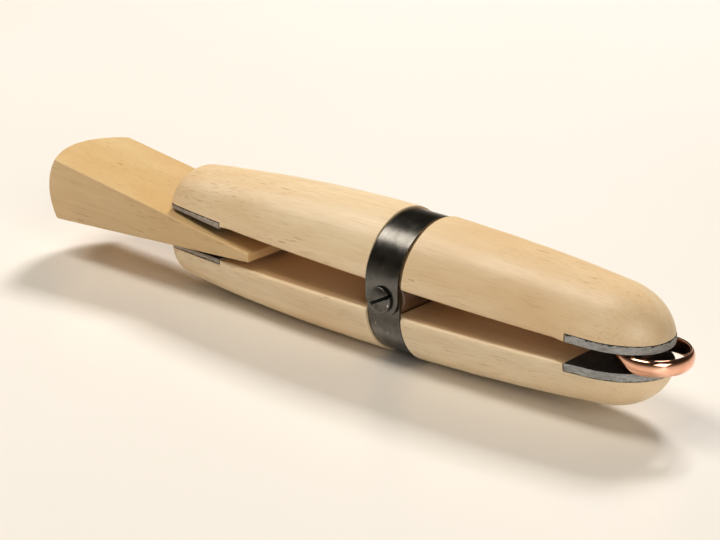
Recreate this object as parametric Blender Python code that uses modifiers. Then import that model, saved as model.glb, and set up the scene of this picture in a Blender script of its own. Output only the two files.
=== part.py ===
"""Wooden ring clamp: two half-spindle jaws, a strap round their fulcrum, leather pads and a wedge.

Units are metres and +Z is up. The origin is the middle of the narrow flat that the clamp rests on.
X runs along the clamp: the grip pads and the ring are at +X, the wedge is driven in from -X. Y is
across. Every piece hangs from an empty at the middle of the fulcrum dowel, and the places below
are measured from there. Each jaw is modelled with its flat inner face level, and is then tilted
about the dowel's axis (Y), so that the clamp is more open where the wedge goes in.
"""
import math
from collections import namedtuple

import bmesh
import bpy
from mathutils import Matrix, Vector

# Jaws: one turned spindle, sawn along its axis. An end reaches so far from the middle, closes with
# a dome of its own length and power, and has lost its taper of the radius TAPER_LENGTH out.
End = namedtuple("End", "reach dome_length dome_power taper")
GRIP_END = End(0.075, 0.0139, 2.2, 0.0026)
WEDGE_END = End(0.0711, 0.0050, 3.2, 0.0029)
JAW_CENTRE_X = -0.0046          # the strap sits a little nearer to the grip end
SPINDLE_RADIUS = 0.0145         # at the middle
TAPER_LENGTH = 0.0611
TAPER_POWER = 2.2
EASED_EDGE = 0.0011             # rounding of the two long inner edges
FACE_HEIGHT = 0.0035            # a jaw's inner face above the dowel's axis
SPINDLE_STEPS = 26              # round the half turn
MIDDLE_DEPTH = 0.98             # depth of a jaw over half its width, at the middle
DEPTH_POWER = 1.4
BELLY_FLAT_DEPTH = 0.00035      # narrow flat that the lower jaw rests on
REST_HEIGHT = FACE_HEIGHT + SPINDLE_RADIUS * MIDDLE_DEPTH - BELLY_FLAT_DEPTH

# Each jaw's tilt, and its depth over half its width at the wedge end and at the grip end.
UPPER_TILT = math.radians(1.1)
UPPER_DEPTHS = (0.78, 1.05)
LOWER_TILT = math.radians(0.9)
LOWER_DEPTHS = (1.01, 0.97)
FULCRUM = (0.020, 0.0, REST_HEIGHT)

# Leather pads, let into a rebate at each end of each jaw.
Pad = namedtuple("Pad", "length thickness proud")
GRIP_PAD = Pad(0.0193, 0.0018, 0.0001)
WEDGE_PAD = Pad(0.0209, 0.0010, 0.00015)
PAD_INSET = 0.0001

# Fulcrum, strap and screws.
DOWEL_RADIUS = 0.0050
DOWEL_HALF_LENGTH = 0.0122
STRAP_WIDTH = 0.0097
STRAP_THICKNESS = 0.0006
STRAP_RADIUS = 0.0135           # middle of the strap's thickness, round the jaws
LAP_STEP = 0.00075              # how far out the lapped end rides over the first end
LAP_END_Z = -0.0043
LAP_START_Z = 0.0034
GROOVE_HALF_WIDTH = 0.00545
GROOVE_RADIUS = 0.0128
SCREW_HEAD_RADIUS = 0.0032
SCREW_HEAD_HEIGHT = 0.0013
SCREW_RIM_SHARE = 0.45          # height of the head's rim over the whole head's
SCREW_SHANK_RADIUS = 0.0013
SCREW_REACH = 0.0078            # how far its point goes into the dowel
SCREW_POINT = 0.0020
SCREW_CLEARANCE = 0.0001        # under each head
PILOT_DEPTH = 0.0095
SLOT_WIDTH = 0.0008
SLOT_DEPTH = 0.0007
SLOT_ANGLE = math.radians(28)

# Wedge: tapered in height only.
WEDGE_WIDTH = 0.0268
WEDGE_LENGTH = 0.0696           # nose to the corners of the thick end
WEDGE_NOSE_X = -0.0440
WEDGE_NOSE_HEIGHT = 0.00215
WEDGE_THICK_HEIGHT = 0.0162
WEDGE_NOSE_MID_Z = -0.00105
WEDGE_THICK_MID_Z = 0.0013
WEDGE_END_BULGE_PLAN = 0.0050
WEDGE_END_BULGE_SIDE = 0.0026
WEDGE_END_CUTS = 11
WEDGE_EASED_EDGE = 0.0004

# Ring held by the grip pads.
RING_X = 0.0669
RING_Z = -0.0001
RING_INNER_RADIUS = 0.0076
RING_WALL = 0.0013
RING_HEIGHT = 0.0039
RING_RIM = 0.0004               # easing of the two inner rims
RING_FLAT = 0.0006              # flat of each end face, before the outside rounds over
RING_SHOULDER = 0.80            # height of the rounded outside over the ring's

GAP = 0.0003                    # between touching pieces
MERGE = 0.00001

WOOD = ("pale_wood", (0.80, 0.62, 0.38, 1.0), 0.55, 0.0)
WEDGE_WOOD = ("wedge_wood", (0.78, 0.56, 0.32, 1.0), 0.60, 0.0)
DOWEL_WOOD = ("dowel_wood", (0.45, 0.25, 0.12, 1.0), 0.60, 0.0)
LEATHER = ("pad_leather", (0.10, 0.10, 0.10, 1.0), 0.85, 0.0)
BLACK_STEEL = ("black_steel", (0.09, 0.09, 0.09, 1.0), 0.38, 1.0)
SCREW_STEEL = ("screw_steel", (0.12, 0.12, 0.12, 1.0), 0.35, 1.0)
COPPER = ("polished_copper", (0.85, 0.42, 0.28, 1.0), 0.18, 1.0)


def clear_scene():
    for item in list(bpy.data.objects):
        bpy.data.objects.remove(item, do_unlink=True)


def new_collection(name):
    group = bpy.data.collections.new(name)
    bpy.context.scene.collection.children.link(group)
    return group


def make_material(spec):
    name, colour, roughness, metallic = spec
    if name in bpy.data.materials:
        return bpy.data.materials[name]
    made = bpy.data.materials.new(name)
    made.use_nodes = True
    shader = made.node_tree.nodes["Principled BSDF"]
    shader.inputs["Base Color"].default_value = colour
    shader.inputs["Roughness"].default_value = roughness
    shader.inputs["Metallic"].default_value = metallic
    return made


def add_object(name, data, group, spec=None):
    item = bpy.data.objects.new(name, data)
    group.objects.link(item)
    item.parent = ORIGIN
    if spec is not None:
        data.materials.clear()
        data.materials.append(make_material(spec))
    return item


def mesh_object(name, bm, group, spec=None):
    data = bpy.data.meshes.new(name)
    bmesh.ops.recalc_face_normals(bm, faces=bm.faces)
    bm.to_mesh(data)
    bm.free()
    return add_object(name, data, group, spec)


def shade_round(item, angle_degrees=35):
    item.data.shade_smooth()
    item.data.set_sharp_from_angle(angle=math.radians(angle_degrees))


def hide_cutter(item):
    item.hide_render = True
    item.display_type = "WIRE"


def cut(item, cutter, operation="DIFFERENCE"):
    boolean = item.modifiers.new(cutter.name, "BOOLEAN")
    boolean.operation = operation
    boolean.object = cutter
    boolean.solver = "EXACT"


def box_cutter(name, low, high, parent):
    """A box between two corners, in its parent's frame."""
    bm = bmesh.new()
    bmesh.ops.create_cube(bm, size=1.0)
    low = Vector(low)
    high = Vector(high)
    for vert in bm.verts:
        for axis in range(3):
            vert.co[axis] = low[axis] + (vert.co[axis] + 0.5) * (high[axis] - low[axis])
    item = mesh_object(name, bm, CUTTERS)
    item.parent = parent or ORIGIN
    hide_cutter(item)
    return item


def cylinder_cutter(name, radius, start, end, parent, segments=32):
    """A cylinder between two points, in its parent's frame."""
    start = Vector(start)
    end = Vector(end)
    along = end - start
    bm = bmesh.new()
    bmesh.ops.create_cone(bm, cap_ends=True, segments=segments, radius1=radius, radius2=radius,
                          depth=along.length)
    turn = Vector((0, 0, 1)).rotation_difference(along).to_matrix().to_4x4()
    bm.transform(Matrix.Translation((start + end) / 2) @ turn)
    item = mesh_object(name, bm, CUTTERS)
    item.parent = parent or ORIGIN
    hide_cutter(item)
    return item


def turned(name, profile, group, spec=None, steps=48, angle=2 * math.pi):
    """An object turned about Z from (radius, height) points that run down its outer side."""
    data = bpy.data.meshes.new(name)
    points = [(radius, 0.0, height) for radius, height in profile]
    data.from_pydata(points, [(i, i + 1) for i in range(len(points) - 1)], [])
    item = add_object(name, data, group, spec)
    screw = item.modifiers.new("turn", "SCREW")
    screw.axis = "Z"
    screw.angle = angle
    screw.steps = steps
    screw.render_steps = steps
    screw.use_merge_vertices = True
    screw.merge_threshold = MERGE
    screw.use_smooth_shade = True
    return item


def evaluated_mesh(item, name):
    """The item's mesh, in its own frame, with its modifiers applied; the item itself is removed."""
    bpy.context.view_layer.update()
    graph = bpy.context.evaluated_depsgraph_get()
    data = bpy.data.meshes.new_from_object(item.evaluated_get(graph))
    data.name = name
    bpy.data.objects.remove(item, do_unlink=True)
    return data


def end_at(x):
    return GRIP_END if x > JAW_CENTRE_X else WEDGE_END


def spindle_radius(x):
    """Radius of the turned spindle at x: a long gentle taper that ends in a dome."""
    end = end_at(x)
    from_middle = abs(x - JAW_CENTRE_X)
    radius = SPINDLE_RADIUS - end.taper * (from_middle / TAPER_LENGTH) ** TAPER_POWER
    into_dome = (from_middle - end.reach + end.dome_length) / end.dome_length
    into_dome = min(1.0, max(0.0, into_dome))
    return radius * (1.0 - into_dome ** end.dome_power) ** (1.0 / end.dome_power)


def end_stations(end, body_count=12, dome_count=10):
    """Distances from the middle to the end's tip, closer together on the dome."""
    straight = end.reach - end.dome_length
    body = [straight * i / body_count for i in range(1, body_count + 1)]
    dome = [straight + end.dome_length * math.sin(math.pi / 2 * i / dome_count)
            for i in range(1, dome_count + 1)]
    return body + dome


def spindle_stations():
    """Places along X from the grip end's tip to the wedge end's."""
    grip_side = [JAW_CENTRE_X + d for d in reversed(end_stations(GRIP_END))]
    wedge_side = [JAW_CENTRE_X - d for d in end_stations(WEDGE_END)]
    return grip_side + [JAW_CENTRE_X] + wedge_side


def depth_scale(x, depths):
    """Depth over half width at x: a jaw is planed shallower, or left deeper, towards its ends."""
    at_end = depths[1] if x > JAW_CENTRE_X else depths[0]
    toward_end = abs(x - JAW_CENTRE_X) / GRIP_END.reach
    return MIDDLE_DEPTH + (at_end - MIDDLE_DEPTH) * toward_end ** DEPTH_POWER


def half_spindle_mesh(name, depths):
    """Half of the spindle, flat face on z = 0, with its two long edges eased."""
    profile = [(spindle_radius(x), x) for x in spindle_stations()]
    item = turned(name, profile, CUTTERS, steps=SPINDLE_STEPS, angle=math.pi)
    data = evaluated_mesh(item, name)
    bm = bmesh.new()
    bm.from_mesh(data)
    bmesh.ops.remove_doubles(bm, verts=bm.verts, dist=MERGE)
    # The spindle was turned about Z: lay its axis along X, its open side down.
    bm.transform(Matrix(((0, 0, 1, 0), (1, 0, 0, 0), (0, 1, 0, 0), (0, 0, 0, 1))))
    for vert in bm.verts:
        vert.co.z *= depth_scale(vert.co.x, depths)
    rim = [edge for edge in bm.edges if edge.is_boundary]
    bmesh.ops.contextual_create(bm, geom=rim)
    bmesh.ops.recalc_face_normals(bm, faces=bm.faces)
    ease_long_edges(bm)
    bm.to_mesh(data)
    bm.free()
    return data


def ease_long_edges(bm):
    """Round the inner edges between the two rebates; the pads cover the rest."""
    covered = 0.8
    low = JAW_CENTRE_X - WEDGE_END.reach + WEDGE_PAD.length * covered
    high = JAW_CENTRE_X + GRIP_END.reach - GRIP_PAD.length * covered
    flat = [e for e in bm.edges if all(abs(v.co.z) < MERGE and low < v.co.x < high for v in e.verts)]
    bmesh.ops.bevel(bm, geom=flat, offset=EASED_EDGE, segments=3, profile=0.5, affect="EDGES")


def groove_cutter(name, parent):
    """A ring round the jaw that leaves a floor of GROOVE_RADIUS for the strap."""
    outer = SPINDLE_RADIUS + 0.004
    profile = [(GROOVE_RADIUS, GROOVE_HALF_WIDTH), (outer, GROOVE_HALF_WIDTH),
               (outer, -GROOVE_HALF_WIDTH), (GROOVE_RADIUS, -GROOVE_HALF_WIDTH),
               (GROOVE_RADIUS, GROOVE_HALF_WIDTH)]
    item = turned(name, profile, CUTTERS, steps=2 * SPINDLE_STEPS)
    item.rotation_euler = (0, math.pi / 2, 0)
    item.location = (0, 0, FACE_HEIGHT)
    item.parent = parent
    hide_cutter(item)
    return item


def make_jaw(name, upper):
    """One jaw: tilted about the dowel's axis, and cut for its pads, strap and dowel."""
    jaw = add_object(name, half_spindle_mesh(name, UPPER_DEPTHS if upper else LOWER_DEPTHS), PARTS, WOOD)
    jaw.data.transform(Matrix.Translation((0, 0, FACE_HEIGHT)))
    jaw.rotation_euler = (0, UPPER_TILT, 0) if upper else (math.pi, -LOWER_TILT, 0)
    wide = 2 * SPINDLE_RADIUS
    past_end = GRIP_END.reach + wide
    if not upper:
        low = (-past_end, -wide, -REST_HEIGHT - wide)
        cut(jaw, box_cutter(name + "_rest_flat", low, (past_end, wide, -REST_HEIGHT), None))
    for pad, end, sign in ((GRIP_PAD, GRIP_END, 1), (WEDGE_PAD, WEDGE_END, -1)):
        top = FACE_HEIGHT + pad.thickness - pad.proud + GAP
        step = JAW_CENTRE_X + sign * (end.reach - pad.length - GAP)
        low = (min(step, sign * past_end), -wide, -wide)
        high = (max(step, sign * past_end), wide, top)
        side = "_grip_rebate" if sign > 0 else "_wedge_rebate"
        cut(jaw, box_cutter(name + side, low, high, jaw))
    cut(jaw, groove_cutter(name + "_groove", jaw))
    cut(jaw, cylinder_cutter(name + "_dowel_seat", DOWEL_RADIUS + GAP, (0, -wide, 0), (0, wide, 0), jaw))
    shade_round(jaw)
    return jaw


def pad_outline(pad, end, sign):
    """Plan outline of a pad: the spindle's own outline from the tip back to the rebate's end."""
    tip_x = JAW_CENTRE_X + sign * end.reach
    count = 18
    xs = [tip_x - sign * pad.length * (1 - math.cos(math.pi / 2 * i / count)) for i in range(count + 1)]
    side = [(x, spindle_radius(x) - PAD_INSET) for x in xs]
    side[0] = (tip_x - sign * PAD_INSET, 0.0)
    return side + [(x, -y) for x, y in reversed(side[1:])]


def make_pad(name, jaw, pad, end, sign):
    """A flat leather pad in a jaw's frame, its face standing proud of the jaw's inner face."""
    data = bpy.data.curves.new(name, "CURVE")
    data.dimensions = "2D"
    data.fill_mode = "BOTH"
    data.extrude = pad.thickness / 2
    outline = pad_outline(pad, end, sign)
    spline = data.splines.new("POLY")
    spline.points.add(len(outline) - 1)
    for point, (x, y) in zip(spline.points, outline):
        point.co = (x, y, 0, 1)
    spline.use_cyclic_u = True
    item = add_object(name, data, PARTS, LEATHER)
    item.parent = jaw
    item.location = (0, 0, FACE_HEIGHT - pad.proud + pad.thickness / 2)
    return item


def make_dowel():
    """The fulcrum: a dowel across the clamp, drilled at both ends for the screws."""
    chamfer = 0.0004
    half = DOWEL_HALF_LENGTH
    profile = [(0, half), (DOWEL_RADIUS - chamfer, half), (DOWEL_RADIUS, half - chamfer),
               (DOWEL_RADIUS, -half + chamfer), (DOWEL_RADIUS - chamfer, -half), (0, -half)]
    dowel = turned("fulcrum_dowel", profile, PARTS, DOWEL_WOOD, steps=36)
    dowel.rotation_euler = (math.pi / 2, 0, 0)
    for sign, side in ((-1, "near"), (1, "far")):
        start = (0, sign * (half + 0.002), 0)
        end = (0, sign * (half - PILOT_DEPTH), 0)
        hole = cylinder_cutter(side + "_pilot_hole", SCREW_SHANK_RADIUS + GAP, start, end, None, 16)
        cut(dowel, hole)
    return dowel


def strap_path():
    """(y, z) points of the strap's middle: near side, under the clamp, far side, over, and lapped."""
    radius = STRAP_RADIUS
    count = 24
    path = [(-radius, LAP_START_Z * (1 - i / 4) - FACE_HEIGHT * i / 4) for i in range(4)]
    for i in range(count + 1):
        turn = math.pi * i / count
        path.append((-radius * math.cos(turn), -FACE_HEIGHT - radius * math.sin(turn)))
    path.append((radius, 0.0))
    for i in range(count + 1):
        turn = math.pi * i / count
        step = LAP_STEP * max(0.0, -math.cos(turn)) ** 2
        path.append(((radius + step) * math.cos(turn), FACE_HEIGHT + radius * math.sin(turn)))
    rounding = STRAP_WIDTH / 2
    outer = -radius - LAP_STEP
    steps = 8
    blunt = 0.004 * rounding    # the rounded end stops just short of a point
    path.append((outer, (FACE_HEIGHT + LAP_END_Z + rounding) / 2))
    path += [(outer, LAP_END_Z + rounding * (1 - math.sin(math.pi / 2 * i / steps))) for i in range(steps)]
    path.append((outer, LAP_END_Z + blunt))
    return path


def strap_half_width(y, z):
    """Half the strap's width: full, except on the rounded outer end."""
    half = STRAP_WIDTH / 2
    on_lap = y < -STRAP_RADIUS - LAP_STEP * 0.9
    from_end = z - LAP_END_Z
    if not on_lap or from_end > half:
        return half
    return math.sqrt(max(0.0, half ** 2 - (half - from_end) ** 2))


def make_strap():
    """A strip of steel along strap_path, one end lapped over the other on the near side."""
    columns = 6
    bm = bmesh.new()
    rows = []
    for y, z in strap_path():
        half = strap_half_width(y, z)
        rows.append([bm.verts.new((half * (2 * i / columns - 1), y, z)) for i in range(columns + 1)])
    for first, second in zip(rows, rows[1:]):
        for i in range(columns):
            bm.faces.new((first[i], first[i + 1], second[i + 1], second[i]))
    strap = mesh_object("strap", bm, PARTS, BLACK_STEEL)
    solid = strap.modifiers.new("thickness", "SOLIDIFY")
    solid.thickness = STRAP_THICKNESS
    solid.offset = 0.0
    wide = 2 * SPINDLE_RADIUS
    cut(strap, cylinder_cutter("strap_screw_holes", SCREW_SHANK_RADIUS + GAP, (0, -wide, 0), (0, wide, 0),
                               None, 16))
    shade_round(strap)
    return strap


def make_screw(name, under_head, sign):
    """A slotted screw along Y, its head's underside at y = sign * under_head."""
    rim = SCREW_RIM_SHARE * SCREW_HEAD_HEIGHT
    count = 6
    dome = [(SCREW_HEAD_RADIUS * math.sin(a), rim + (SCREW_HEAD_HEIGHT - rim) * math.cos(a))
            for a in (math.pi / 2 * i / count for i in range(count + 1))]
    tip = DOWEL_HALF_LENGTH - under_head - SCREW_REACH
    profile = dome + [(SCREW_HEAD_RADIUS, 0.0), (SCREW_SHANK_RADIUS, 0.0),
                      (SCREW_SHANK_RADIUS, tip + SCREW_POINT), (0.0, tip)]
    screw = turned(name, profile, PARTS, SCREW_STEEL, steps=32)
    # Turned about Z with the head up; laid along Y with the head outwards.
    screw.rotation_euler = (math.pi / 2 * (1 if sign < 0 else -1), 0, 0)
    screw.location = (0, sign * under_head, 0)
    wide = 2 * SCREW_HEAD_RADIUS
    slot = box_cutter(name + "_slot", (-wide, -SLOT_WIDTH / 2, SCREW_HEAD_HEIGHT - SLOT_DEPTH),
                      (wide, SLOT_WIDTH / 2, 2 * SCREW_HEAD_HEIGHT), screw)
    slot.rotation_euler = (0, 0, SLOT_ANGLE)
    cut(screw, slot)
    return screw


def wedge_point(along, across, up):
    """A point of the wedge: along 0 at the nose to 1 at the thick end, across and up from -1 to 1."""
    height = WEDGE_NOSE_HEIGHT + (WEDGE_THICK_HEIGHT - WEDGE_NOSE_HEIGHT) * along
    mid = WEDGE_NOSE_MID_Z + (WEDGE_THICK_MID_Z - WEDGE_NOSE_MID_Z) * along
    return Vector((WEDGE_NOSE_X - WEDGE_LENGTH * along, across * WEDGE_WIDTH / 2, mid + up * height / 2))


def make_wedge():
    """The wedge: a cube whose ends and taper are shaped, with a dome on the thick end."""
    bm = bmesh.new()
    bmesh.ops.create_cube(bm, size=2.0)
    thick = [e for e in bm.edges if all(v.co.x < 0 for v in e.verts)]
    bmesh.ops.subdivide_edges(bm, edges=thick, cuts=WEDGE_END_CUTS, use_grid_fill=True)
    for vert in bm.verts:
        across = vert.co.y
        up = vert.co.z
        at_end = vert.co.x < 0
        bulge = WEDGE_END_BULGE_PLAN * (1 - across ** 2) + WEDGE_END_BULGE_SIDE * (1 - up ** 2)
        vert.co = wedge_point(1.0 + bulge / WEDGE_LENGTH if at_end else 0.0, across, up)
    wedge = mesh_object("wedge", bm, PARTS, WEDGE_WOOD)
    bevel = wedge.modifiers.new("eased_edges", "BEVEL")
    bevel.width = WEDGE_EASED_EDGE
    bevel.segments = 2
    bevel.limit_method = "ANGLE"
    bevel.angle_limit = math.radians(50)
    shade_round(wedge)
    return wedge


def make_ring():
    """The copper ring: flat inside, rounded outside, its axis vertical."""
    half = RING_HEIGHT / 2
    edge = RING_INNER_RADIUS + RING_FLAT
    count = 8
    outer = [(edge + (RING_WALL - RING_FLAT) * math.cos(a), RING_SHOULDER * half * math.sin(a))
             for a in (math.pi / 2 - math.pi * i / count for i in range(count + 1))]
    eased = RING_INNER_RADIUS + RING_RIM * 0.6
    top = [(RING_INNER_RADIUS, half - RING_RIM), (eased, half)]
    bottom = [(eased, -half), (RING_INNER_RADIUS, -half + RING_RIM)]
    profile = top + outer + bottom + [top[0]]
    ring = turned("clamped_ring", profile, PARTS, COPPER, steps=56)
    ring.location = (RING_X, 0, RING_Z)
    return ring


def build():
    upper_jaw = make_jaw("upper_jaw", True)
    lower_jaw = make_jaw("lower_jaw", False)
    for jaw, side in ((upper_jaw, "upper"), (lower_jaw, "lower")):
        make_pad(side + "_grip_pad", jaw, GRIP_PAD, GRIP_END, 1)
        make_pad(side + "_wedge_pad", jaw, WEDGE_PAD, WEDGE_END, -1)
    make_dowel()
    make_strap()
    strap_face = STRAP_RADIUS + STRAP_THICKNESS / 2 + SCREW_CLEARANCE
    make_screw("near_screw", strap_face + LAP_STEP, -1)
    make_screw("far_screw", strap_face, 1)
    make_wedge()
    make_ring()


def make_origin():
    """The empty at the middle of the dowel that every piece hangs from."""
    empty = bpy.data.objects.new("fulcrum_centre", None)
    PARTS.objects.link(empty)
    empty.location = FULCRUM
    return empty


clear_scene()
PARTS = new_collection("ring_clamp")
CUTTERS = new_collection("cutters")
ORIGIN = make_origin()
build()
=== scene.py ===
"""Looks for the wooden ring clamp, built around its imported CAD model.

Every visible piece is remade here at a finer resolution from the same driving dimensions as the CAD
model, in metres, with the fulcrum's centre as the reference point. A piece then rides on the CAD
body that it belongs to. Each jaw and its pads are shaped level, then tilted about the fulcrum.
"""
import math
from collections import namedtuple

import bmesh
import bpy
from mathutils import Matrix, Vector, noise


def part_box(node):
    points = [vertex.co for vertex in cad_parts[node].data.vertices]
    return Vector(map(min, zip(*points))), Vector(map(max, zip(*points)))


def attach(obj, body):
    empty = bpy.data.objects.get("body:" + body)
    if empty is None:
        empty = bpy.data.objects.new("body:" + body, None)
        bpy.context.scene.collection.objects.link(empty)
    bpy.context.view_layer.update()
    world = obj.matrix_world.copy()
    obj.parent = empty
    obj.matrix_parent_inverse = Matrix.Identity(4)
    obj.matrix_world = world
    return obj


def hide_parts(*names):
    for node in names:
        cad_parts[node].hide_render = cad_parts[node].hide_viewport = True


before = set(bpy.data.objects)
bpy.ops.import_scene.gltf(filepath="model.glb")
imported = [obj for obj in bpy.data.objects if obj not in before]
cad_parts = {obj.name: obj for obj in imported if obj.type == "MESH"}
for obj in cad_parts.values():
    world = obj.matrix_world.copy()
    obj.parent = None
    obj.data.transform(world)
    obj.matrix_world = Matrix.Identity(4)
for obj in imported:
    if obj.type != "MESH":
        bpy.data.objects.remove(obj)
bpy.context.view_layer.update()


def middle_of(node):
    low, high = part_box(node)
    return (low + high) / 2


FULCRUM = middle_of("fulcrum_dowel")

# Jaws. Each end of the spindle reaches so far from the middle, closes with a dome of its own length
# and power, and is thinner by its taper where it is TAPER_LENGTH from the middle.
End = namedtuple("End", "reach dome_length dome_power taper")
GRIP_END = End(0.075, 0.0139, 2.2, 0.0026)
WEDGE_END = End(0.0711, 0.0050, 3.2, 0.0029)
JAW_CENTRE_X = -0.0046
SPINDLE_RADIUS = 0.0145
TAPER_LENGTH = 0.0611
TAPER_POWER = 2.2
FACE_HEIGHT = 0.0035
MIDDLE_DEPTH = 0.98
DEPTH_POWER = 1.4
UPPER_TILT = math.radians(1.1)
UPPER_DEPTHS = (0.78, 1.05)
LOWER_TILT = math.radians(0.9)
LOWER_DEPTHS = (1.01, 0.97)
EASED_EDGE = 0.0011
EASING_LENGTH = 0.003           # how far from a rebate the eased edge takes to reach its full size
CRISP_EDGE = 0.00015
HAND_SHAPING = 0.00006          # how far the sanded surface wanders from the true spindle
GAP_SHADE_DEPTH = 0.00002            # how thin the skin is over the inner face that gets the painted gap shade

# Pads and their rebates.
Pad = namedtuple("Pad", "length thickness")
GRIP_PAD = Pad(0.0193, 0.0018)
WEDGE_PAD = Pad(0.0209, 0.0010)
WEDGE_PAD_HANGS = {"upper": 0.0006, "lower": 0.0002}
GLUE_LINE = 0.0001
GAP = 0.0003
PAD_PROUD = 0.0001              # how far a pad stands out of its jaw's inner face
PAD_SETBACK = 0.00003           # how far its cut edge stays inside the wood
PAD_SHORT = 0.0001              # how much shorter it is than its rebate
PAD_RAGGED = 0.00007
PAD_ROUNDING = 0.00016

# Fulcrum, strap and screws.
DOWEL_RADIUS = 0.0050
DOWEL_HALF_LENGTH = 0.0122
STRAP_WIDTH = 0.0097
STRAP_THICKNESS = 0.0006
STRAP_RADIUS = 0.0135
LAP_STEP = 0.00075
LAP_END_Z = -0.0043
LAP_START_Z = 0.0034
GROOVE_START = -0.00515         # the strap rocks towards +X, so the groove is wider on that side
GROOVE_END = 0.00556
GROOVE_RADIUS = 0.0128
GROOVE_LIP = 0.0002
SCREW_HEAD_RADIUS = 0.0032
SCREW_HEAD_HEIGHT = 0.0013
SCREW_HEAD_DOME = 0.0006
SCREW_HEAD_RIM = 0.00022
SCREW_SHANK_RADIUS = 0.0013
SCREW_REACH = 0.0078            # how far its point goes into the dowel's end
SCREW_POINT = 0.0020
SCREW_CLEARANCE = 0.0001
SLOT_WIDTH = 0.0008
SLOT_DEPTH = 0.0007
SLOT_ANGLE = math.radians(28)

# Wedge.
WEDGE_WIDTH = 0.0268
WEDGE_LENGTH = 0.0696
WEDGE_NOSE_X = -0.0440
WEDGE_NOSE_HEIGHT = 0.00215
WEDGE_THICK_HEIGHT = 0.0162
WEDGE_NOSE_MID_Z = -0.00105
WEDGE_THICK_MID_Z = 0.0013
WEDGE_END_BULGE_PLAN = 0.0050
WEDGE_END_BULGE_SIDE = 0.0026
WEDGE_EASED_CORNER = 0.00032
WEDGE_EASED_END = 0.00028
WEDGE_ROWS = 60
WEDGE_STRAIGHT_ROWS = 55        # the rest blend into the curved end
WEDGE_BLEND_STEPS = 8
WEDGE_BLEND_SHORT = 0.0004      # how far before the curved end's rim the blend stops

# Ring.
RING_INNER_RADIUS = 0.0076
RING_WALL = 0.0013
RING_HEIGHT = 0.0039
RING_RIM = 0.0005
RING_FLAT = 0.0006
RING_SHOULDER = 0.86

# Camera: where it stands round the fulcrum, and how far the fulcrum is from the middle of its view.
CAMERA_AZIMUTH = math.radians(41.137)
CAMERA_ELEVATION = math.radians(20.581)
CAMERA_DISTANCE = 0.56929
CAMERA_ROLL = math.radians(0.128)
CAMERA_RIGHT = -0.014535
CAMERA_UP = 0.002971
CAMERA_LENS = 120.0

# Room light: its strength just above the floor, and overhead.
ROOM_LOW_STRENGTH = 0.28
ROOM_HIGH_STRENGTH = 0.035


def smooth_step(value):
    value = min(1.0, max(0.0, value))
    return value * value * (3 - 2 * value)


def wander(point, scale, size):
    """A small smooth offset that depends only on the place."""
    return size * noise.noise(Vector(point) * scale)


# ---------------------------------------------------------------- materials

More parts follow.
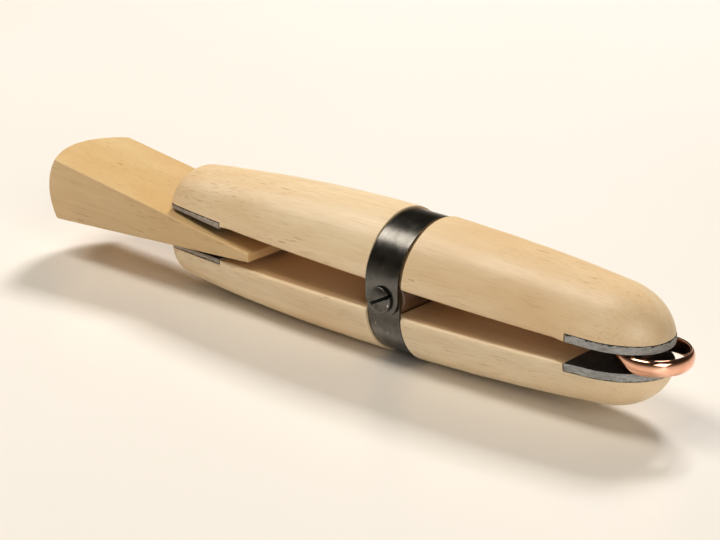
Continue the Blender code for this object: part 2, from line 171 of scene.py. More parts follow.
class Material:
    """A Principled material and short ways to add nodes to it."""

    def __init__(self, name, roughness=0.5, metallic=0.0, **sockets):
        self.made = bpy.data.materials.new(name)
        self.made.use_nodes = True
        self.tree = self.made.node_tree
        self.shader = self.tree.nodes["Principled BSDF"]
        self.shader.inputs["Roughness"].default_value = roughness
        self.shader.inputs["Metallic"].default_value = metallic
        for socket, value in sockets.items():
            self.shader.inputs[socket.replace("_", " ")].default_value = value
        self.place = self.tree.nodes.new("ShaderNodeTexCoord").outputs["Object"]

    def put(self, socket, value):
        if isinstance(value, bpy.types.NodeSocket):
            self.tree.links.new(value, socket)
        else:
            socket.default_value = value

    def stretched(self, scale, shift=(0.0, 0.0, 0.0)):
        """The place, scaled along each axis and then shifted."""
        node = self.tree.nodes.new("ShaderNodeVectorMath")
        node.operation = "MULTIPLY_ADD"
        self.put(node.inputs[0], self.place)
        node.inputs[1].default_value = scale
        node.inputs[2].default_value = shift
        return node.outputs["Vector"]

    def noise(self, vector, scale, detail=2.0, roughness=0.5, distortion=0.0):
        node = self.tree.nodes.new("ShaderNodeTexNoise")
        self.put(node.inputs["Vector"], vector)
        node.inputs["Scale"].default_value = scale
        node.inputs["Detail"].default_value = detail
        node.inputs["Roughness"].default_value = roughness
        node.inputs["Distortion"].default_value = distortion
        return node.outputs["Fac"]

    def cells(self, vector, scale, feature="F1"):
        node = self.tree.nodes.new("ShaderNodeTexVoronoi")
        node.feature = feature
        self.put(node.inputs["Vector"], vector)
        node.inputs["Scale"].default_value = scale
        return node.outputs["Distance"]

    def rings(self, vector, scale, distortion):
        node = self.tree.nodes.new("ShaderNodeTexWave")
        node.wave_type = "RINGS"
        node.rings_direction = "X"
        self.put(node.inputs["Vector"], vector)
        node.inputs["Scale"].default_value = scale
        node.inputs["Distortion"].default_value = distortion
        node.inputs["Detail"].default_value = 2.0
        node.inputs["Detail Scale"].default_value = 0.6
        return node.outputs["Fac"]

    def band(self, value, low, high, at_low=0.0, at_high=1.0):
        """The value, taken from low..high to at_low..at_high and held there outside."""
        node = self.tree.nodes.new("ShaderNodeMapRange")
        self.put(node.inputs["Value"], value)
        node.inputs["From Min"].default_value = low
        node.inputs["From Max"].default_value = high
        node.inputs["To Min"].default_value = at_low
        node.inputs["To Max"].default_value = at_high
        return node.outputs["Result"]

    def math(self, operation, first, second=0.0):
        node = self.tree.nodes.new("ShaderNodeMath")
        node.operation = operation
        self.put(node.inputs[0], first)
        self.put(node.inputs[1], second)
        return node.outputs["Value"]

    def mix(self, factor, first, second):
        """Colours: first where factor is 0, second where it is 1."""
        node = self.tree.nodes.new("ShaderNodeMix")
        node.data_type = "RGBA"
        self.put(node.inputs["Factor"], factor)
        self.put(node.inputs["A"], first)
        self.put(node.inputs["B"], second)
        return node.outputs["Result"]

    def attribute(self, name):
        node = self.tree.nodes.new("ShaderNodeAttribute")
        node.attribute_name = name
        return node.outputs["Fac"]

    def facing(self, axis):
        """How squarely the surface faces along an axis of its own, from 0 to 1."""
        texture = self.tree.nodes.new("ShaderNodeTexCoord")
        split = self.tree.nodes.new("ShaderNodeSeparateXYZ")
        self.put(split.inputs[0], texture.outputs["Normal"])
        return self.math("ABSOLUTE", split.outputs[axis])

    def bump(self, height, distance, strength=1.0, under=None):
        node = self.tree.nodes.new("ShaderNodeBump")
        node.inputs["Strength"].default_value = strength
        node.inputs["Distance"].default_value = distance
        self.put(node.inputs["Height"], height)
        if under is not None:
            self.put(node.inputs["Normal"], under)
        return node.outputs["Normal"]

    def finish(self, colour=None, roughness=None, normal=None):
        for name, value in (("Base Color", colour), ("Roughness", roughness), ("Normal", normal)):
            if value is not None:
                self.put(self.shader.inputs[name], value)
        return self.made


def wood(name, pale, tan, fleck, pith=(0.0, 0.021, -0.034), seed=0.0, warmth=0.5):
    """A close-grained pale wood, its grain along X: growth rings, fibres, flecks and end grain."""
    m = Material(name, roughness=0.5, Specular_IOR_Level=0.85)
    shift = (seed, 1.7 * seed, 0.6 * seed)
    cloud = m.noise(m.stretched((14, 38, 38), shift), 1.0, 3.0, 0.55)
    base = m.mix(m.band(cloud, 0.37, 0.63), pale, tan)
    blotch = m.noise(m.stretched((55, 130, 130), shift), 1.0, 3.0, 0.6)
    base = m.mix(m.band(blotch, 0.45, 0.70, 0.0, 0.35), base, tan)
    ring_space = m.stretched((0.16, 1.0, 1.0), pith)
    ring = m.rings(ring_space, 95.0, 3.4)
    base = m.mix(m.band(ring, 0.35, 1.0, 0.0, 0.20), base, tan)
    streak = m.noise(m.stretched((16, 420, 420), shift), 1.0, 3.0, 0.6, 0.15)
    base = m.mix(m.band(streak, 0.48, 0.80, 0.0, 0.50), base, tan)
    fibre = m.noise(m.stretched((110, 2600, 2600), shift), 1.0, 2.0, 0.6)
    base = m.mix(m.band(fibre, 0.50, 0.85, 0.0, 0.32), base, fleck)
    dash = m.noise(m.stretched((190, 2300, 2300), shift), 1.0, 1.0, 0.4)
    patch = m.noise(m.stretched((40, 90, 90), shift), 1.0, 1.0)
    dashes = m.math("MULTIPLY", m.band(dash, 0.64, 0.72), m.band(patch, 0.42, 0.58))
    end_grain = m.band(m.facing(0), 0.45, 1.0)
    dashes = m.math("MULTIPLY", dashes, m.band(end_grain, 0.0, 0.5, 0.50, 0.0))
    base = m.mix(dashes, base, fleck)
    stain = m.noise(m.stretched((22, 60, 60), (3.1 + seed, 0.2, 0.9)), 1.0, 2.0)
    stained = m.mix(1.0, base, (0.82, 0.50, 0.24, 1))
    base = m.mix(m.band(stain, 0.55, 0.82, 0.0, 0.34 * warmth), base, stained)
    pore = m.noise(m.stretched((900, 2400, 2400), shift), 1.0, 2.0, 0.7)
    end_tone = m.mix(m.band(pore, 0.40, 0.75, 0.0, 0.5), tan, fleck)
    base = m.mix(m.math("MULTIPLY", end_grain, 0.30), base, end_tone)
    # Painted shade: the inner faces in the gap between the jaws are darkened towards deep brown.
    painted_gap_shade = m.mix(1.0, base, (0.52, 0.29, 0.11, 1))
    base = m.mix(m.math("MULTIPLY", m.attribute("painted_gap_shade"), 0.60), base, painted_gap_shade)
    rough = m.band(m.math("ADD", m.math("MULTIPLY", streak, 0.6), m.math("MULTIPLY", cloud, 0.4)),
                   0.3, 0.75, 0.38, 0.50)
    relief = m.math("SUBTRACT", m.math("MULTIPLY", fibre, 0.35), dashes)
    normal = m.bump(m.noise(m.stretched((70, 230, 230), shift), 1.0, 2.0), 0.00022, 0.5)
    normal = m.bump(relief, 0.00004, 0.5, normal)
    return m.finish(base, rough, normal)


def leather_face():
    """The black dressed face of a pad: pebbled grain and faint creases."""
    m = Material("pad_leather_face", roughness=0.55, Specular_IOR_Level=0.3)
    pebble = m.cells(m.place, 1500.0, "SMOOTH_F1")
    crease = m.noise(m.place, 260.0, 3.0, 0.6)
    colour = m.mix(m.band(crease, 0.4, 0.75), (0.006, 0.006, 0.007, 1), (0.016, 0.015, 0.015, 1))
    rough = m.band(crease, 0.3, 0.7, 0.48, 0.66)
    normal = m.bump(pebble, 0.00008, 0.35)
    normal = m.bump(crease, 0.00015, 0.35, normal)
    return m.finish(colour, rough, normal)


def leather_edge(name, dark, pale, glue_from):
    """The cut edge of a pad: compressed fibres with pale tufts, dark pits and a dark line of glue."""
    m = Material(name, roughness=0.85, Specular_IOR_Level=0.2)
    layer = m.noise(m.stretched((450, 450, 2600)), 1.0, 3.0, 0.65)
    tuft = m.noise(m.place, 2300.0, 3.0, 0.7)
    smear = m.noise(m.place, 170.0, 2.0)
    colour = m.mix(m.band(layer, 0.32, 0.70), dark, pale)
    colour = m.mix(m.band(smear, 0.52, 0.74, 0.0, 0.45), colour, (0.13, 0.125, 0.12, 1))
    colour = m.mix(m.band(tuft, 0.58, 0.68, 0.0, 0.85), colour, (0.62, 0.62, 0.60, 1))
    colour = m.mix(m.band(tuft, 0.36, 0.28, 0.0, 0.8), colour, (0.030, 0.028, 0.026, 1))
    ragged = m.math("ADD", m.attribute("glue"), m.math("MULTIPLY", m.noise(m.place, 900.0, 3.0, 0.7), 0.9))
    colour = m.mix(m.band(ragged, glue_from, glue_from + 0.08, 0.0, 0.92), colour, (0.018, 0.014, 0.010, 1))
    normal = m.bump(m.math("ADD", layer, tuft), 0.00018, 0.8)
    return m.finish(colour, None, normal)


def black_steel(name, bright, dark, low_rough, high_rough):
    """Blackened steel: blotched oxide, fine scratches, rubbed bright along its edges, and painted shade
    inside a screw's slot.
    """
    m = Material(name, metallic=0.97, Specular_IOR_Level=0.5)
    blotch = m.noise(m.place, 330.0, 4.0, 0.62)
    fine = m.noise(m.place, 1900.0, 3.0, 0.6)
    scratch = m.noise(m.stretched((2600, 130, 130), (0.3, 0.1, 0.7)), 1.0, 2.0, 0.6)
    speck = m.noise(m.place, 1250.0, 0.0)
    colour = m.mix(m.band(blotch, 0.35, 0.68), dark, bright)
    colour = m.mix(m.band(scratch, 0.60, 0.74, 0.0, 0.25), colour, (0.24, 0.235, 0.225, 1))
    rubbed = m.math("MULTIPLY", m.attribute("wear"), m.band(fine, 0.35, 0.65, 0.25, 1.0))
    colour = m.mix(rubbed, colour, (0.40, 0.385, 0.36, 1))
    # Painted shade: near black where the screw marks the inside of its slot.
    colour = m.mix(m.attribute("painted_slot_shade"), colour, (0.004, 0.004, 0.004, 1))
    colour = m.mix(m.band(speck, 0.855, 0.87), colour, (0.8, 0.78, 0.74, 1))
    rough = m.band(m.math("ADD", m.math("MULTIPLY", blotch, 0.7), m.math("MULTIPLY", fine, 0.3)),
                   0.35, 0.66, low_rough, high_rough)
    normal = m.bump(blotch, 0.00006, 0.30)
    normal = m.bump(fine, 0.00002, 0.2, normal)
    return m.finish(colour, rough, normal)


def copper():
    """Polished copper: hairline scratches round the ring, and a faint darker tarnish."""
    m = Material("polished_copper", metallic=1.0, roughness=0.16)
    tarnish = m.noise(m.place, 240.0, 3.0, 0.55)
    hairline = m.noise(m.stretched((500, 500, 5200)), 1.0, 2.0, 0.6)
    colour = m.mix(m.band(tarnish, 0.35, 0.72), (0.955, 0.560, 0.400, 1), (0.870, 0.450, 0.300, 1))
    rough = m.band(m.math("ADD", m.math("MULTIPLY", tarnish, 0.5), m.math("MULTIPLY", hairline, 0.5)),
                   0.35, 0.65, 0.07, 0.15)
    normal = m.bump(hairline, 0.00001, 0.35)
    normal = m.bump(tarnish, 0.00006, 0.25, normal)
    return m.finish(colour, rough, normal)


# ---------------------------------------------------------------- mesh helpers

def shade(data, smooth_angle):
    """Smooth shading, with sharp edges where faces meet at more than the angle."""
    data.shade_smooth()
    data.set_sharp_from_angle(angle=math.radians(smooth_angle))


def make_piece(name, bm, materials, body, node, smooth_angle=40):
    """An object from the mesh, in place of a CAD node, riding on the node's body."""
    bmesh.ops.remove_doubles(bm, verts=bm.verts, dist=1e-7)
    bmesh.ops.dissolve_degenerate(bm, edges=bm.edges, dist=1e-7)
    bmesh.ops.recalc_face_normals(bm, faces=bm.faces)
    data = bpy.data.meshes.new(name)
    bm.to_mesh(data)
    bm.free()
    for material in materials:
        data.materials.append(material)
    shade(data, smooth_angle)
    piece = bpy.data.objects.new(name, data)
    bpy.context.scene.collection.objects.link(piece)
    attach(piece, body)
    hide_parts(node)
    return piece


def loft(bm, rows, close_ends=True):
    """Skin closed loops of points, each with as many points as the next."""
    loops = [[bm.verts.new(point) for point in row] for row in rows]
    for first, second in zip(loops, loops[1:]):
        for i, vert in enumerate(first):
            nxt = (i + 1) % len(first)
            bm.faces.new((vert, first[nxt], second[nxt], second[i]))
    if close_ends:
        bm.faces.new(list(reversed(loops[0])))
        bm.faces.new(loops[-1])


def revolve(bm, profile, steps, closed=False):
    """Turn (radius, height) points about Z: an open profile runs from axis to axis."""
    rows = []
    for radius, height in profile:
        turns = [2 * math.pi * i / steps for i in range(steps)]
        rows.append([Vector((radius * math.cos(a), radius * math.sin(a), height)) for a in turns])
    if closed:
        rows.append(rows[0])
    loft(bm, rows, close_ends=False)


def jaw_frame(upper):
    """From a jaw's own level frame, face up from the fulcrum's centre, to its place."""
    turn = Matrix.Rotation(UPPER_TILT, 4, "Y")
    if not upper:
        turn = Matrix.Rotation(-LOWER_TILT, 4, "Y") @ Matrix.Rotation(math.pi, 4, "X")
    return Matrix.Translation(FULCRUM) @ turn


# ---------------------------------------------------------------- jaws

def end_at(x):
    return GRIP_END if x > JAW_CENTRE_X else WEDGE_END


def spindle_radius(x):
    """Radius of the turned spindle at x: a long gentle taper that ends in a dome."""
    end = end_at(x)
    from_middle = abs(x - JAW_CENTRE_X)
    radius = SPINDLE_RADIUS - end.taper * (from_middle / TAPER_LENGTH) ** TAPER_POWER
    into_dome = (from_middle - end.reach + end.dome_length) / end.dome_length
    into_dome = min(1.0, max(0.0, into_dome))
    return radius * (1.0 - into_dome ** end.dome_power) ** (1.0 / end.dome_power)


def depth_scale(x, depths):
    """Depth over half width at x."""
    at_end = depths[1] if x > JAW_CENTRE_X else depths[0]
    toward_end = abs(x - JAW_CENTRE_X) / GRIP_END.reach
    return MIDDLE_DEPTH + (at_end - MIDDLE_DEPTH) * toward_end ** DEPTH_POWER


def in_groove(x):
    return GROOVE_START < x < GROOVE_END


def rebate_ends():
    """Where the wedge pad's rebate and the grip pad's rebate stop, along X."""
    wedge_end = JAW_CENTRE_X - WEDGE_END.reach + WEDGE_PAD.length + GAP
    grip_end = JAW_CENTRE_X + GRIP_END.reach - GRIP_PAD.length - GAP
    return wedge_end, grip_end


def face_level(x):
    """Height of the inner face above the flat face the spindle was cut along: raised in the rebates and
    over the dowel.
    """
    wedge_end, grip_end = rebate_ends()
    if x < wedge_end:
        return WEDGE_PAD.thickness + GLUE_LINE
    if x > grip_end:
        return GRIP_PAD.thickness + GLUE_LINE
    seat = DOWEL_RADIUS + GAP
    if abs(x) < seat:
        return max(0.0, math.sqrt(seat ** 2 - x ** 2) - FACE_HEIGHT)
    return 0.0


def edge_rounding(x):
    """How far the inner edge is eased: well between the rebates, barely inside them."""
    wedge_end, grip_end = rebate_ends()
    inside = min(x - wedge_end, grip_end - x)
    if inside < 0 or in_groove(x):
        return CRISP_EDGE
    return CRISP_EDGE + (EASED_EDGE - CRISP_EDGE) * smooth_step(inside / EASING_LENGTH)


def tip_reach(end, sign, depths):
    """How far from the middle the jaw still stands above its rebate, found by halving."""
    low = 0.0
    high = end.reach
    for _ in range(40):
        mid = (low + high) / 2
        x = JAW_CENTRE_X + sign * mid
        if spindle_radius(x) * depth_scale(x, depths) > face_level(x):
            low = mid
        else:
            high = mid
    return low


def jaw_stations(depths):
    """Places along X for the jaw's sections: even on the body, closer on the domes and at steps."""
    body_count = 44
    dome_count = 26
    stations = set()
    for end, sign in ((GRIP_END, 1), (WEDGE_END, -1)):
        reach = tip_reach(end, sign, depths)
        straight = end.reach - end.dome_length
        for i in range(dome_count + 1):
            out = straight + (reach - straight) * math.sin(math.pi / 2 * i / dome_count)
            stations.add(JAW_CENTRE_X + sign * out)
        for i in range(body_count):
            stations.add(JAW_CENTRE_X + sign * straight * i / body_count)
    clear_of_step = 0.0005
    for step in (*rebate_ends(), GROOVE_START, GROOVE_END):
        stations = {x for x in stations if abs(x - step) > clear_of_step}
        for away in (0.00001, 0.00009, 0.00018, 0.00036):
            stations.update((step - away, step + away))
    seat = math.sqrt((DOWEL_RADIUS + GAP) ** 2 - FACE_HEIGHT ** 2)
    seat_count = 10
    for i in range(-seat_count, seat_count + 1):
        stations.add(seat * i / seat_count)
    return sorted(stations)


def lip_drop(x):
    """The groove's lips are rounded over: how much lower the surface is, just outside it."""
    outside = max(GROOVE_START - x, x - GROOVE_END)
    if outside < 0 or outside > GROOVE_LIP:
        return 0.0
    return GROOVE_LIP - math.sqrt(GROOVE_LIP ** 2 - (GROOVE_LIP - outside) ** 2)


def jaw_section(x, depths):
    """The closed outline across a jaw at x: over the back, then along the inner face."""
    arc_count = 64
    corner_count = 6
    face_count = 16
    radius = spindle_radius(x) - lip_drop(x)
    depth = depth_scale(x, depths)
    if in_groove(x):
        radius = GROOVE_RADIUS
        depth = 1.0
    level = face_level(x)
    height = max(radius * depth, level + 1e-9)
    start = math.asin(min(1.0, level / height))
    easing = min(edge_rounding(x), 0.4 * radius * math.cos(start))
    begin = start + easing / max(radius, 1e-5)
    begin = min(begin, math.pi / 2)
    turns = [begin + (math.pi - 2 * begin) * i / arc_count for i in range(arc_count + 1)]
    arc = [(-radius * math.cos(a), height * math.sin(a)) for a in turns]
    corner = radius * math.cos(start)
    far = []
    for i in range(1, corner_count + 1):
        s = i / corner_count
        y = (1 - s) ** 2 * arc[-1][0] + 2 * s * (1 - s) * corner + s ** 2 * (corner - easing)
        z = (1 - s) ** 2 * arc[-1][1] + (1 - (1 - s) ** 2) * level
        far.append((y, z))
    inner = corner - easing
    face = [(inner - 2 * inner * i / face_count, level) for i in range(1, face_count)]
    near = [(-y, z) for y, z in reversed(far)]
    return [Vector((x, y, FACE_HEIGHT + z)) for y, z in arc + far + face + near]


def make_jaw(name, upper, material):
    depths = UPPER_DEPTHS if upper else LOWER_DEPTHS
    bm = bmesh.new()
    loft(bm, [jaw_section(x, depths) for x in jaw_stations(depths)])
    bmesh.ops.remove_doubles(bm, verts=bm.verts, dist=1e-6)
    bm.normal_update()
    for vert in bm.verts:
        on_back = vert.co.z > FACE_HEIGHT + EASED_EDGE and not in_groove(vert.co.x)
        if on_back:
            vert.co += vert.normal * wander(vert.co, 160, HAND_SHAPING)
    bm.transform(jaw_frame(upper))
    for vert in bm.verts:
        vert.co.z = max(vert.co.z, 0.0)
    piece = make_piece(name + "_wood", bm, [material], name, name, 32)
    level = jaw_frame(upper).inverted()

    # Painted shade: marks the inner face, which the wood paints darker as the shade in the gap between the
    # jaws.
    def painted_gap_shade(place):
        local = level @ place
        return 1.0 if local.z < FACE_HEIGHT + face_level(local.x) + GAP_SHADE_DEPTH else 0.0

    mark(piece, "painted_gap_shade", painted_gap_shade)


# ---------------------------------------------------------------- pads

def pad_section(x, pad, tip_x, hang):
    """The closed outline across a pad at x: near cut edge, upper face, far cut edge, lower face.

    A pad that is pressed at its tip hangs a little lower, by hang, at its other end.
    """
    levels = 8
    across = 18
    from_tip = abs(tip_x - x) / pad.length
    low = FACE_HEIGHT - PAD_PROUD - hang * from_tip ** 1.5
    high = FACE_HEIGHT + pad.thickness
    half = max(0.0, spindle_radius(x) - PAD_SETBACK)
    near = []
    far = []
    for i in range(levels + 1):
        up = i / levels
        z = low + (high - low) * up
        shrink = PAD_ROUNDING * (abs(2 * up - 1) ** 6)
        for side, group in ((-1, near), (1, far)):
            edge = (x, side * half, z)
            rough = wander(edge, 2600, PAD_RAGGED) + wander(edge, 700, PAD_RAGGED)
            group.append((side * max(0.0, half - shrink + rough), z))
    top = [(near[-1][0] + (far[-1][0] - near[-1][0]) * i / across, high) for i in range(1, across)]
    bottom = [(far[0][0] + (near[0][0] - far[0][0]) * i / across, low) for i in range(1, across)]
    return [Vector((x, y, z)) for y, z in near + top + list(reversed(far)) + bottom]


def make_pad(name, upper, pad, end, sign, body, materials, hang=0.0):
    tip_x = JAW_CENTRE_X + sign * (end.reach - PAD_SETBACK)
    count = 84
    long = pad.length - PAD_SHORT
    stations = [tip_x - sign * long * (1 - math.cos(math.pi / 2 * i / count)) for i in range(count + 1)]
    bm = bmesh.new()
    loft(bm, [pad_section(x, pad, tip_x, hang) for x in stations])
    bm.normal_update()
    for quad in bm.faces:
        quad.material_index = 1 if abs(quad.normal.z) < 0.75 else 0
    bm.transform(jaw_frame(upper))
    piece = make_piece(name + "_leather", bm, materials, body, name, 50)
    level = jaw_frame(upper).inverted()

    def glue(place):
        return ((level @ place).z - FACE_HEIGHT) / pad.thickness

    mark(piece, "glue", glue)


# ---------------------------------------------------------------- strap and screws

def strap_path():
    """(y, z) points of the strap's middle: near side, under the clamp, far side, over, and lapped."""
    radius = STRAP_RADIUS
    count = 72
    path = [(-radius, LAP_START_Z + (-FACE_HEIGHT - LAP_START_Z) * i / 10) for i in range(10)]
    for i in range(count + 1):
        turn = math.pi * i / count
        path.append((-radius * math.cos(turn), -FACE_HEIGHT - radius * math.sin(turn)))
    path += [(radius, -FACE_HEIGHT + 2 * FACE_HEIGHT * i / 8) for i in range(1, 8)]
    for i in range(count + 1):
        turn = math.pi * i / count
        step = LAP_STEP * max(0.0, -math.cos(turn)) ** 2
        path.append(((radius + step) * math.cos(turn), FACE_HEIGHT + radius * math.sin(turn)))
    outer = -radius - LAP_STEP
    straight = FACE_HEIGHT - LAP_END_Z - STRAP_WIDTH / 2
    path += [(outer, FACE_HEIGHT - straight * i / 4) for i in range(1, 4)]
    rounding = STRAP_WIDTH / 2
    path += [(outer, LAP_END_Z + rounding * (1 - math.sin(math.pi / 2 * i / 20))) for i in range(20)]
    path.append((outer, LAP_END_Z + rounding * 0.001))
    return path


def strap_half_width(y, z):
    """Half the strap's width: full, except on the rounded outer end."""
    half = STRAP_WIDTH / 2
    on_lap = y < -STRAP_RADIUS - 0.9 * LAP_STEP
    from_end = z - LAP_END_Z
    if not on_lap or from_end > half:
        return half
    return math.sqrt(max(0.0, half ** 2 - (half - from_end) ** 2))


def ease_edges(piece, width, angle):
    """A small bevel along every edge that is sharper than the angle."""
    eased = piece.modifiers.new("eased", "BEVEL")
    eased.width = width
    eased.segments = 2
    eased.limit_method = "ANGLE"
    eased.angle_limit = math.radians(angle)


def apply_modifiers(piece):
    """Gives the piece the mesh that its modifiers make."""
    bpy.context.view_layer.update()
    graph = bpy.context.evaluated_depsgraph_get()
    data = bpy.data.meshes.new_from_object(piece.evaluated_get(graph))
    data.name = piece.data.name
    piece.modifiers.clear()
    piece.data = data


def mark(piece, name, amount):
    """Stores a value at each vertex, from a function of its place, for the material to read."""
    layer = piece.data.attributes.new(name, "FLOAT", "POINT")
    layer.data.foreach_set("value", [amount(vert.co) for vert in piece.data.vertices])


def make_strap(material):
    columns = 14
    bm = bmesh.new()
    rows = []
    for y, z in strap_path():
        half = strap_half_width(y, z)
        places = [math.sin(math.pi / 2 * (2 * i / columns - 1)) for i in range(columns + 1)]
        rows.append([bm.verts.new((half * place, y, z)) for place in places])
    for first, second in zip(rows, rows[1:]):
        for i in range(columns):
            bm.faces.new((first[i], first[i + 1], second[i + 1], second[i]))
    bm.transform(Matrix.Translation(FULCRUM))
    strap = make_piece("strap_steel", bm, [material], "fulcrum", "strap")
    solid = strap.modifiers.new("thickness", "SOLIDIFY")
    solid.thickness = STRAP_THICKNESS
    solid.offset = 0.0
    ease_edges(strap, 0.00013, 50)
    apply_modifiers(strap)
    worn_width = 0.0003

    def wear(place):
        from_edge = STRAP_WIDTH / 2 - abs(place.x - FULCRUM.x)
        return 0.2 * smooth_step(1 - from_edge / worn_width)

    mark(strap, "wear", wear)
    shade(strap.data, 40)


def screw_profile(under_head):
    """(radius, height) from the domed head's top, round its rim, down the shank to the point."""
    rim = SCREW_HEAD_RIM
    flat = SCREW_HEAD_RADIUS - rim
    edge = SCREW_HEAD_HEIGHT - SCREW_HEAD_DOME
    profile = []
    for i in range(13):
        radius = flat * math.sin(math.pi / 2 * i / 12)
        profile.append((radius, edge + SCREW_HEAD_DOME * (1 - (radius / SCREW_HEAD_RADIUS) ** 2)))
    top = profile[-1][1]
    for i in range(1, 7):
        turn = math.pi / 2 * i / 6
        profile.append((flat + rim * math.sin(turn), top - rim * (1 - math.cos(turn))))
    tip = DOWEL_HALF_LENGTH - SCREW_REACH - under_head
    profile += [(SCREW_HEAD_RADIUS, 0.0), (SCREW_SHANK_RADIUS, 0.0)]
    profile += [(SCREW_SHANK_RADIUS, tip + SCREW_POINT), (0.0, tip)]
    return profile


def from_slot(offset):
    """How far a place, given from the screw's axis, is from the slot's middle line."""
    return abs(offset.z * math.cos(SLOT_ANGLE) - offset.x * math.sin(SLOT_ANGLE))


def make_screw(name, under_head, sign, material):
    bm = bmesh.new()
    revolve(bm, screw_profile(under_head), 72)
    lay = Matrix.Rotation(-sign * math.pi / 2, 4, "X")
    place = Matrix.Translation(FULCRUM + Vector((0, sign * under_head, 0))) @ lay
    bm.transform(place)
    screw = make_piece(name + "_steel", bm, [material], "fulcrum", name, 35)
    slot = bmesh.new()
    bmesh.ops.create_cube(slot, size=1.0)
    size = Matrix.Diagonal((4 * SCREW_HEAD_RADIUS, SLOT_WIDTH, 2 * SLOT_DEPTH, 1))
    slot.transform(place @ Matrix.Rotation(SLOT_ANGLE, 4, "Z")
                   @ Matrix.Translation((0, 0, SCREW_HEAD_HEIGHT)) @ size)
    cutter_data = bpy.data.meshes.new("slot_cutter")
    slot.to_mesh(cutter_data)
    slot.free()
    cutter = bpy.data.objects.new("slot_cutter", cutter_data)
    bpy.context.scene.collection.objects.link(cutter)
    cut = screw.modifiers.new("slot", "BOOLEAN")
    cut.operation = "DIFFERENCE"
    cut.object = cutter
    cut.solver = "EXACT"
    ease_edges(screw, 0.00007, 45)
    apply_modifiers(screw)
    bpy.data.objects.remove(cutter, do_unlink=True)

    def wear(place):
        offset = place - FULCRUM
        from_rim = abs(math.hypot(offset.x, offset.z) - SCREW_HEAD_RADIUS + 0.0002)
        from_lip = abs(from_slot(offset) - SLOT_WIDTH / 2)
        return 0.3 * smooth_step(1 - from_rim / 0.0003) + 0.2 * smooth_step(1 - from_lip / 0.00015)

    # Painted shade: 1 inside the slot below its lip, which the steel material paints near black.
    def painted_slot_shade(place):
        offset = place - FULCRUM
        depth = under_head + SCREW_HEAD_HEIGHT - abs(offset.y)
        in_slot = from_slot(offset) < SLOT_WIDTH / 2 + 0.00003 and depth > 0.4 * SLOT_DEPTH
        return 1.0 if in_slot and abs(offset.y) > under_head else 0.0

    mark(screw, "wear", wear)
    mark(screw, "painted_slot_shade", painted_slot_shade)
    shade(screw.data, 35)


# ---------------------------------------------------------------- wedge and ring

def rounded_rectangle(half_width, half_height, radius, per_side=10, per_corner=4):
    """Points round a rectangle in (y, z), its corners rounded; always the same number of points."""
    radius = min(radius, half_width * 0.95, half_height * 0.95)
    points = []
    corners = ((1, 1, 0.0), (-1, 1, 0.5), (-1, -1, 1.0), (1, -1, 1.5))
    arcs = []
    for side, up, start in corners:
        centre = (side * (half_width - radius), up * (half_height - radius))
        turns = [math.pi * (start + 0.5 * i / per_corner) for i in range(per_corner + 1)]
        arcs.append([(centre[0] + radius * math.cos(a), centre[1] + radius * math.sin(a)) for a in turns])
    for i, arc in enumerate(arcs):
        points += arc
        end = arc[-1]
        begin = arcs[(i + 1) % 4][0]
        for k in range(1, per_side):
            share = k / per_side
            points.append((end[0] + (begin[0] - end[0]) * share, end[1] + (begin[1] - end[1]) * share))
    return points


def wedge_loop(along, inset, lead=0.0, scale=1.0, domed=False):
    """A loop round the wedge: along 0 at the nose to 1 at the thick end, drawn in by inset."""
    height = WEDGE_NOSE_HEIGHT + (WEDGE_THICK_HEIGHT - WEDGE_NOSE_HEIGHT) * along
    outline = rounded_rectangle(WEDGE_WIDTH / 2 - inset, height / 2 - inset, WEDGE_EASED_CORNER)
    points = []
    for y, z in outline:
        across = scale * y / (WEDGE_WIDTH / 2)
        up = scale * z / (height / 2)
        bulge = 0.0
        if domed:
            bulge = WEDGE_END_BULGE_PLAN * (1 - across ** 2) + WEDGE_END_BULGE_SIDE * (1 - up ** 2)
        reach = along + (bulge + lead) / WEDGE_LENGTH
        mid = WEDGE_NOSE_MID_Z + (WEDGE_THICK_MID_Z - WEDGE_NOSE_MID_Z) * reach
        tall = WEDGE_NOSE_HEIGHT + (WEDGE_THICK_HEIGHT - WEDGE_NOSE_HEIGHT) * reach
        place = (WEDGE_NOSE_X - WEDGE_LENGTH * reach, across * WEDGE_WIDTH / 2, mid + up * tall / 2)
        points.append(FULCRUM + Vector(place))
    return points


def blended_rows():
    """Rows that pass from the wedge's straight sections to its curved end."""
    straight = wedge_loop(WEDGE_STRAIGHT_ROWS / WEDGE_ROWS, 0.0)
    curved = wedge_loop(1.0, 0.0, lead=-WEDGE_BLEND_SHORT, domed=True)
    rows = []
    for i in range(1, WEDGE_BLEND_STEPS + 1):
        share = i / WEDGE_BLEND_STEPS
        rows.append([a.lerp(b, share) for a, b in zip(straight, curved)])
    return rows


def make_wedge(material):
    eased = WEDGE_EASED_END
    turns = [math.pi / 2 * i / 4 for i in range(5)]
    rows = [wedge_loop(0.0, eased, scale=s) for s in (0.0, 0.25, 0.5, 0.75)]
    rows += [wedge_loop(0.0, eased * (1 - math.sin(a)), lead=eased * (1 - math.cos(a))) for a in turns]
    rows += [wedge_loop(i / WEDGE_ROWS, 0.0) for i in range(1, WEDGE_STRAIGHT_ROWS + 1)]
    rows += blended_rows()
    rows += [wedge_loop(1.0, eased * (1 - math.cos(a)), lead=-eased * (1 - math.sin(a)), domed=True)
             for a in turns]
    rows += [wedge_loop(1.0, eased, scale=1 - i / 16, domed=True) for i in range(1, 17)]
    bm = bmesh.new()
    loft(bm, rows, close_ends=False)
    make_piece("wedge_wood", bm, [material], "wedge", "wedge", 38)


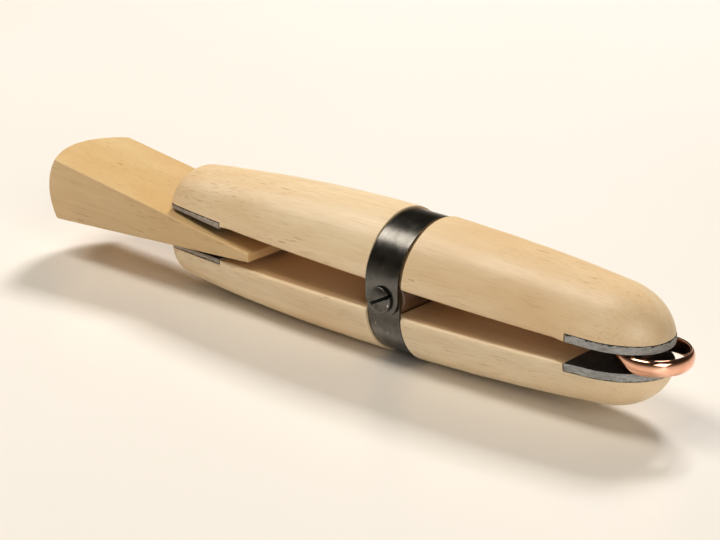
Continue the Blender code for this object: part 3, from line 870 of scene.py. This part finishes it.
def make_ring(material):
    """The ring: flat inside with rounded rims, and a rounded outside."""
    half = RING_HEIGHT / 2
    flank = RING_WALL - RING_FLAT
    shoulder = half * RING_SHOULDER
    profile = []
    for i in range(13):
        turn = math.pi / 2 - math.pi * i / 12
        radius = RING_INNER_RADIUS + RING_FLAT + flank * math.cos(turn)
        profile.append((radius, shoulder * math.sin(turn)))
    for sign in (-1, 1):
        side = []
        for i in range(7):
            turn = math.pi / 2 * i / 6
            radius = RING_INNER_RADIUS + RING_RIM * (1 - math.sin(turn))
            side.append((radius, sign * (half - RING_RIM * (1 - math.cos(turn)))))
        profile += side if sign < 0 else list(reversed(side))
    bm = bmesh.new()
    revolve(bm, profile, 160, closed=True)
    bm.transform(Matrix.Translation(middle_of("clamped_ring")))
    make_piece("ring_copper", bm, [material], "ring", "clamped_ring", 60)


# ---------------------------------------------------------------- stage

def make_camera():
    sin_a, cos_a = math.sin(CAMERA_AZIMUTH), math.cos(CAMERA_AZIMUTH)
    sin_e, cos_e = math.sin(CAMERA_ELEVATION), math.cos(CAMERA_ELEVATION)
    back = Vector((sin_a * cos_e, -cos_a * cos_e, sin_e))
    right = Vector((cos_a, sin_a, 0.0))
    up = back.cross(right)
    data = bpy.data.cameras.new("camera")
    data.lens = CAMERA_LENS
    data.sensor_width = 36.0
    camera = bpy.data.objects.new("camera", data)
    bpy.context.scene.collection.objects.link(camera)
    turned_right = right * math.cos(CAMERA_ROLL) + up * math.sin(CAMERA_ROLL)
    turned_up = up * math.cos(CAMERA_ROLL) - right * math.sin(CAMERA_ROLL)
    camera.matrix_world = Matrix.Translation(
        FULCRUM + back * CAMERA_DISTANCE + right * CAMERA_RIGHT + up * CAMERA_UP
    ) @ Matrix((turned_right, turned_up, back)).transposed().to_4x4()
    bpy.context.scene.camera = camera


def add_light(name, toward, distance, size, power, colour):
    """A softbox that faces the clamp from the direction given, its first side along the clamp."""
    data = bpy.data.lights.new(name, "AREA")
    data.shape = "RECTANGLE"
    data.size, data.size_y = size
    data.energy = power
    data.color = colour
    light = bpy.data.objects.new(name, data)
    bpy.context.scene.collection.objects.link(light)
    back = Vector(toward).normalized()
    along = (Vector((1, 0, 0)) - back * back.x).normalized()
    facing = Matrix((along, back.cross(along), back)).transposed().to_4x4()
    light.matrix_world = Matrix.Translation(Vector((0, 0, FULCRUM.z)) + back * distance) @ facing
    return light


def make_lights():
    window = add_light("window", (-0.30, 0.70, 0.75), 1.2, (0.28, 0.28), 12.4, (1.0, 0.975, 0.945))
    window.visible_glossy = False
    add_light("strip", (-0.36, -0.20, 0.85), 0.90, (0.76, 0.29), 5.0, (1.0, 0.925, 0.81))
    add_light("side_fill", (0.84, -0.46, 0.44), 1.0, (0.6, 0.6), 3.4, (1.0, 0.95, 0.88))


def make_room():
    """A soft room: pale just above the floor, dark overhead."""
    world = bpy.data.worlds.new("soft_room")
    bpy.context.scene.world = world
    world.use_nodes = True
    tree = world.node_tree
    sky = tree.nodes["Background"]
    sky.inputs["Color"].default_value = (1.0, 0.82, 0.62, 1)
    direction = tree.nodes.new("ShaderNodeTexCoord")
    split = tree.nodes.new("ShaderNodeSeparateXYZ")
    fade = tree.nodes.new("ShaderNodeMapRange")
    fade.inputs["From Min"].default_value = 0.03
    fade.inputs["From Max"].default_value = 0.30
    fade.inputs["To Min"].default_value = ROOM_LOW_STRENGTH
    fade.inputs["To Max"].default_value = ROOM_HIGH_STRENGTH
    tree.links.new(direction.outputs["Generated"], split.inputs[0])
    tree.links.new(split.outputs["Z"], fade.inputs["Value"])
    tree.links.new(fade.outputs["Result"], sky.inputs["Strength"])


def make_floor():
    bm = bmesh.new()
    bmesh.ops.create_grid(bm, x_segments=8, y_segments=8, size=3.0)
    data = bpy.data.meshes.new("floor")
    bm.to_mesh(data)
    bm.free()
    m = Material("pale_floor", roughness=0.24, Specular_IOR_Level=0.45)
    cloud = m.noise(m.place, 5.0, 3.0)
    colour = m.mix(m.band(cloud, 0.35, 0.65), (0.915, 0.885, 0.840, 1), (0.895, 0.860, 0.810, 1))
    data.materials.append(m.finish(colour))
    floor = bpy.data.objects.new("floor", data)
    bpy.context.scene.collection.objects.link(floor)


make_camera()
make_lights()
make_room()
make_floor()

UPPER_WOOD = wood("upper_jaw_wood", (0.90, 0.730, 0.485, 1), (0.78, 0.555, 0.310, 1), (0.46, 0.24, 0.09, 1))
# Partly painted light: the lower jaw is a paler piece of wood, and its colour is lifted further to paint in
# the floor's bounce light on its down-facing sides.
LOWER_WOOD_PAINTED_LIGHTER = wood("lower_jaw_wood", (0.97, 0.825, 0.590, 1), (0.87, 0.675, 0.425, 1), (0.48, 0.26, 0.11, 1),
                  seed=5.3)
WEDGE_WOOD = wood("wedge_wood", (0.75, 0.555, 0.290, 1), (0.65, 0.425, 0.190, 1), (0.42, 0.21, 0.08, 1),
                  pith=(0.0, 0.012, 0.026), seed=9.1, warmth=1.6)
# Painted shade: the dowel is coloured deep brown to stand for the shade it sits in between the jaws.
DOWEL_WOOD_PAINTED_DARK = wood("dowel_wood", (0.17, 0.090, 0.042, 1), (0.10, 0.050, 0.024, 1), (0.05, 0.025, 0.01, 1),
                  seed=2.2)
LEATHER_FACE = leather_face()
GRIP_EDGE = leather_edge("grip_pad_edge", (0.26, 0.265, 0.265, 1), (0.53, 0.535, 0.525, 1), 1.36)
WEDGE_EDGE = leather_edge("wedge_pad_edge", (0.29, 0.245, 0.21, 1), (0.50, 0.44, 0.38, 1), 1.24)
STRAP_STEEL = black_steel("strap_steel", (0.160, 0.155, 0.146, 1), (0.100, 0.097, 0.091, 1), 0.22, 0.28)
SCREW_STEEL = black_steel("screw_steel", (0.150, 0.146, 0.138, 1), (0.080, 0.078, 0.074, 1), 0.24, 0.36)

make_jaw("upper_jaw", True, UPPER_WOOD)
make_jaw("lower_jaw", False, LOWER_WOOD_PAINTED_LIGHTER)
for place, upper in (("upper", True), ("lower", False)):
    body = place + "_jaw"
    make_pad(place + "_grip_pad", upper, GRIP_PAD, GRIP_END, 1, body, [LEATHER_FACE, GRIP_EDGE])
    make_pad(place + "_wedge_pad", upper, WEDGE_PAD, WEDGE_END, -1, body, [LEATHER_FACE, WEDGE_EDGE],
             hang=WEDGE_PAD_HANGS[place])
make_strap(STRAP_STEEL)
STRAP_FACE = STRAP_RADIUS + STRAP_THICKNESS / 2 + SCREW_CLEARANCE
make_screw("near_screw", STRAP_FACE + LAP_STEP, -1, SCREW_STEEL)
make_screw("far_screw", STRAP_FACE, 1, SCREW_STEEL)
make_wedge(WEDGE_WOOD)
make_ring(copper())
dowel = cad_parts["fulcrum_dowel"]
dowel.data.materials.clear()
dowel.data.materials.append(DOWEL_WOOD_PAINTED_DARK)
bpy.context.scene.view_settings.view_transform = "Standard"
